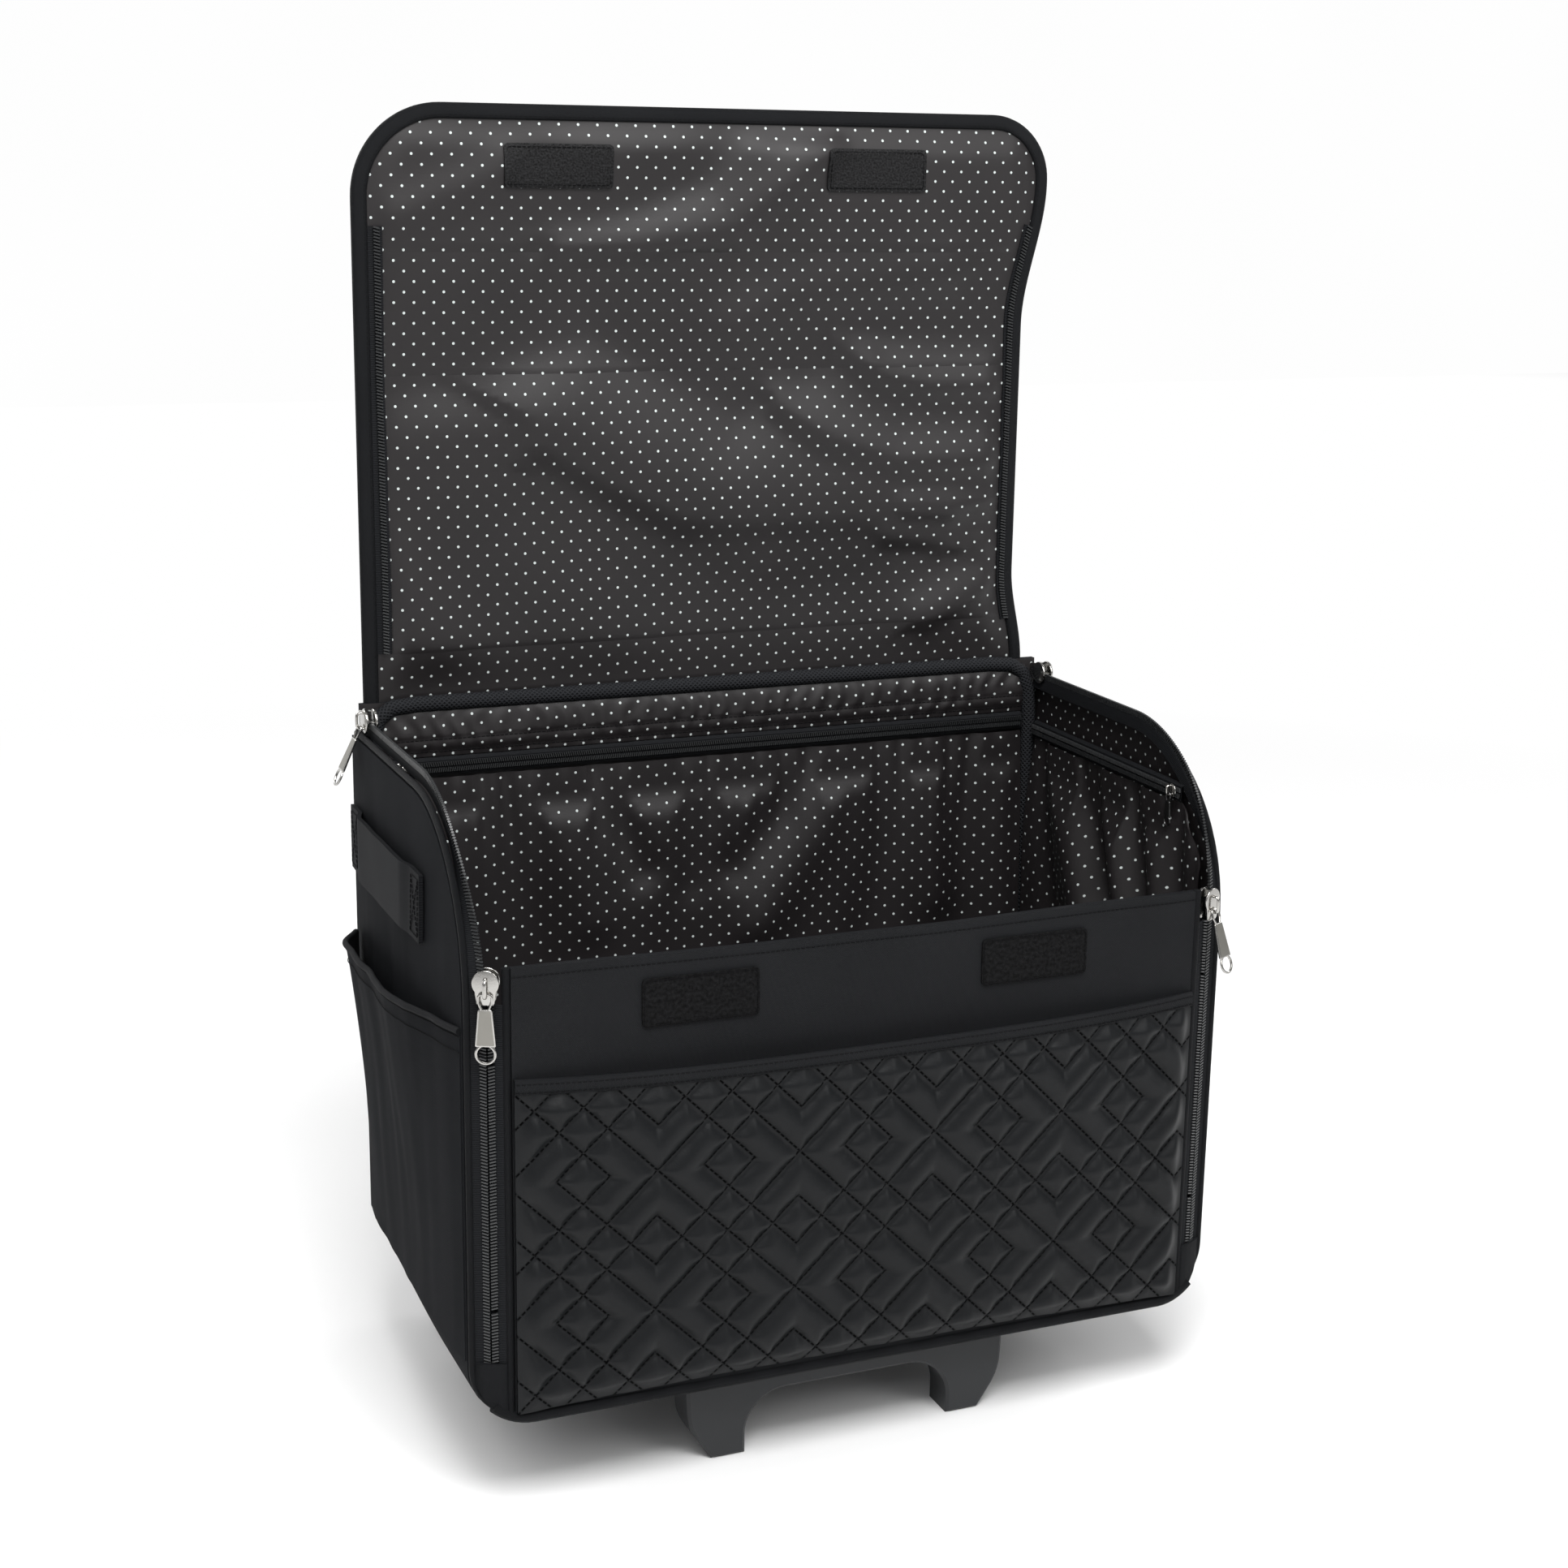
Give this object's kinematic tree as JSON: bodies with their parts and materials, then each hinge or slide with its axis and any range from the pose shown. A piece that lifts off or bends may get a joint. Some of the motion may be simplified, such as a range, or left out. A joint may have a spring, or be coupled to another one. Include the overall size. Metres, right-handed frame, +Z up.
{
  "type": "rolling soft case",
  "caption": "Soft-sided rolling case with a fold-back lid, zip-down quilted front, lined zip pockets, front foot, wheels and a pull-out handle.",
  "frame": {"origin": "centre of the bounding box at the floor", "axes": "+X to the case's right, +Y to its back, +Z up; the lid stands open along +Z"},
  "size_m": [0.564, 0.3162, 0.8615],
  "materials": {
    "shell_fabric": "matte woven polyester",
    "lid_fabric": "padded, dotted satin lining inside",
    "quilted_fabric": "stitched satin quilting",
    "lining_fabric": "dotted satin",
    "base_board": "hard board",
    "piping": "woven binding",
    "webbing": "woven webbing",
    "zip_tape": "woven tape with nylon coil",
    "hook_and_loop": "pile and hooks",
    "plastic": "fine grain",
    "grip_plastic": "soft grain",
    "button_plastic": "satin",
    "tyre": "smooth",
    "tube": "satin",
    "steel": "plain",
    "zip_metal": "nickel plated",
    "small_zip_metal": "dark nickel"
  },
  "bodies": {
    "case": {"back_panel": "shell_fabric", "left_side_panel": "shell_fabric", "right_side_panel": "shell_fabric", "base_panel": "shell_fabric", "base_board": "base_board", "rear_inner_pocket": "lining_fabric", "right_inner_pocket": "lining_fabric", "rear_pocket_zip": "zip_tape", "right_pocket_zip": "zip_tape", "left_outer_pocket": "shell_fabric", "right_outer_pocket": "shell_fabric", "left_grab_strap": "webbing", "right_grab_strap": "webbing", "front_foot": "plastic", "base_screws": "steel", "rear_base_bracket": "plastic", "wheel_axles": "steel", "left_side_zip": "zip_tape", "right_side_zip": "zip_tape", "edge_piping": "piping", "inner_corner_binding": "piping", "hinge_piping": "piping", "zip_end_tabs": "piping", "handle_sleeves": "shell_fabric", "handle_top_bezel": "plastic", "handle_outer_tubes": "tube"},
    "lid_rear": {"lid_rear": "lid_fabric", "lid_rear_zips": "zip_tape"},
    "lid_arc_a": {"lid_arc_a": "lid_fabric", "lid_arc_a_zips": "zip_tape"},
    "lid_arc_b": {"lid_arc_b": "lid_fabric", "lid_arc_b_zips": "zip_tape"},
    "lid_front": {"lid_front": "lid_fabric", "lid_hook_patches": "hook_and_loop"},
    "front_panel": {"front_panel": "shell_fabric", "front_panel_piping": "piping", "front_pocket": "quilted_fabric", "front_loop_patches": "hook_and_loop", "front_zip_tapes": "zip_tape"},
    "handle_middle": {"handle_middle_tubes": "tube"},
    "handle_upper": {"handle_upper_tubes": "tube", "handle_grip": "grip_plastic"},
    "release_button": {"release_button": "button_plastic"},
    "left_wheel": {"left_hub": "plastic", "left_tyre": "tyre"},
    "right_wheel": {"right_hub": "plastic", "right_tyre": "tyre"},
    "front_left_slider": {"front_left_slider": "zip_metal"},
    "front_left_pull": {"front_left_pull": "zip_metal"},
    "front_right_slider": {"front_right_slider": "zip_metal"},
    "front_right_pull": {"front_right_pull": "zip_metal"},
    "rear_left_slider": {"rear_left_slider": "zip_metal"},
    "rear_left_pull": {"rear_left_pull": "zip_metal"},
    "rear_right_slider": {"rear_right_slider": "zip_metal"},
    "rear_right_pull": {"rear_right_pull": "zip_metal"},
    "rear_pocket_slider": {"rear_pocket_slider": "small_zip_metal"},
    "rear_pocket_pull": {"rear_pocket_pull": "small_zip_metal"},
    "right_pocket_slider": {"right_pocket_slider": "small_zip_metal"},
    "right_pocket_pull": {"right_pocket_pull": "small_zip_metal"}
  },
  "joints": [
    {"name": "lid_hinge", "type": "hinge", "parent": "case", "child": "lid_rear", "pos_m": [0, 0.1336, 0.4695], "axis": [1, 0, 0], "range_deg": [0, 90]},
    {"name": "lid_bend_a", "type": "hinge", "parent": "lid_rear", "child": "lid_arc_a", "pos_m": [0, 0.1336, 0.64619], "axis": [1, 0, 0], "range_deg": [0, 30]},
    {"name": "lid_bend_b", "type": "hinge", "parent": "lid_arc_a", "child": "lid_arc_b", "pos_m": [0, 0.1336, 0.72658], "axis": [1, 0, 0], "range_deg": [0, 30]},
    {"name": "lid_bend_c", "type": "hinge", "parent": "lid_arc_b", "child": "lid_front", "pos_m": [0, 0.1336, 0.80696], "axis": [1, 0, 0], "range_deg": [0, 30]},
    {"name": "front_panel_fold", "type": "hinge", "parent": "case", "child": "front_panel", "pos_m": [0, -0.1334, 0.0645], "axis": [1, 0, 0], "range_deg": [0, 90]},
    {"name": "front_left_slide", "type": "slide", "parent": "case", "child": "front_left_slider", "axis": [0, 0, -1], "range_m": [0, 0.225]},
    {"name": "front_right_slide", "type": "slide", "parent": "case", "child": "front_right_slider", "axis": [0, 0, -1], "range_m": [0, 0.225]},
    {"name": "rear_left_slide", "type": "slide", "parent": "case", "child": "rear_left_slider", "axis": [0, -1, 0], "range_m": [0, 0.12]},
    {"name": "rear_right_slide", "type": "slide", "parent": "case", "child": "rear_right_slider", "axis": [0, -1, 0], "range_m": [0, 0.12]},
    {"name": "rear_pocket_slide", "type": "slide", "parent": "case", "child": "rear_pocket_slider", "axis": [1, 0, 0], "range_m": [0, 0.46]},
    {"name": "right_pocket_slide", "type": "slide", "parent": "case", "child": "right_pocket_slider", "axis": [0, 1, 0], "range_m": [0, 0.185]},
    {"name": "front_left_swing", "type": "hinge", "parent": "front_left_slider", "child": "front_left_pull", "pos_m": [-0.25287, -0.14347, 0.3466], "axis": [-0.9063, 0.4226, 0], "range_deg": [0, 60]},
    {"name": "rear_left_swing", "type": "hinge", "parent": "rear_left_slider", "child": "rear_left_pull", "pos_m": [-0.2627, 0.1161, 0.4551], "axis": [0, 1, 0], "range_deg": [0, 65]},
    {"name": "front_right_swing", "type": "hinge", "parent": "front_right_slider", "child": "front_right_pull", "pos_m": [0.25287, -0.14347, 0.3466], "axis": [-0.9063, -0.4226, 0], "range_deg": [0, 42]},
    {"name": "rear_right_swing", "type": "hinge", "parent": "rear_right_slider", "child": "rear_right_pull", "pos_m": [0.2627, 0.1161, 0.4551], "axis": [0, -1, 0], "range_deg": [0, 65]},
    {"name": "rear_pocket_swing", "type": "hinge", "parent": "rear_pocket_slider", "child": "rear_pocket_pull", "pos_m": [-0.233, 0.1224, 0.4183], "axis": [-1, 0, 0], "range_deg": [0, 75]},
    {"name": "right_pocket_swing", "type": "hinge", "parent": "right_pocket_slider", "child": "right_pocket_pull", "pos_m": [0.2503, -0.0819, 0.4129], "axis": [0, 1, 0], "range_deg": [0, 75]},
    {"name": "handle_lower_slide", "type": "slide", "parent": "case", "child": "handle_middle", "axis": [0, 0, 1], "range_m": [0, 0.27]},
    {"name": "handle_upper_slide", "type": "slide", "parent": "handle_middle", "child": "handle_upper", "axis": [0, 0, 1], "range_m": [0, 0.27]},
    {"name": "release_button_press", "type": "slide", "parent": "handle_upper", "child": "release_button", "axis": [0, 0, -1], "range_m": [0, 0.0025], "stiffness_N_per_m": 600, "springref_m": -0.002},
    {"name": "left_wheel_spin", "type": "hinge", "parent": "case", "child": "left_wheel", "pos_m": [-0.205, 0.1241, 0.0295], "axis": [1, 0, 0], "continuous": true},
    {"name": "right_wheel_spin", "type": "hinge", "parent": "case", "child": "right_wheel", "pos_m": [0.205, 0.1241, 0.0295], "axis": [1, 0, 0], "continuous": true}
  ]
}
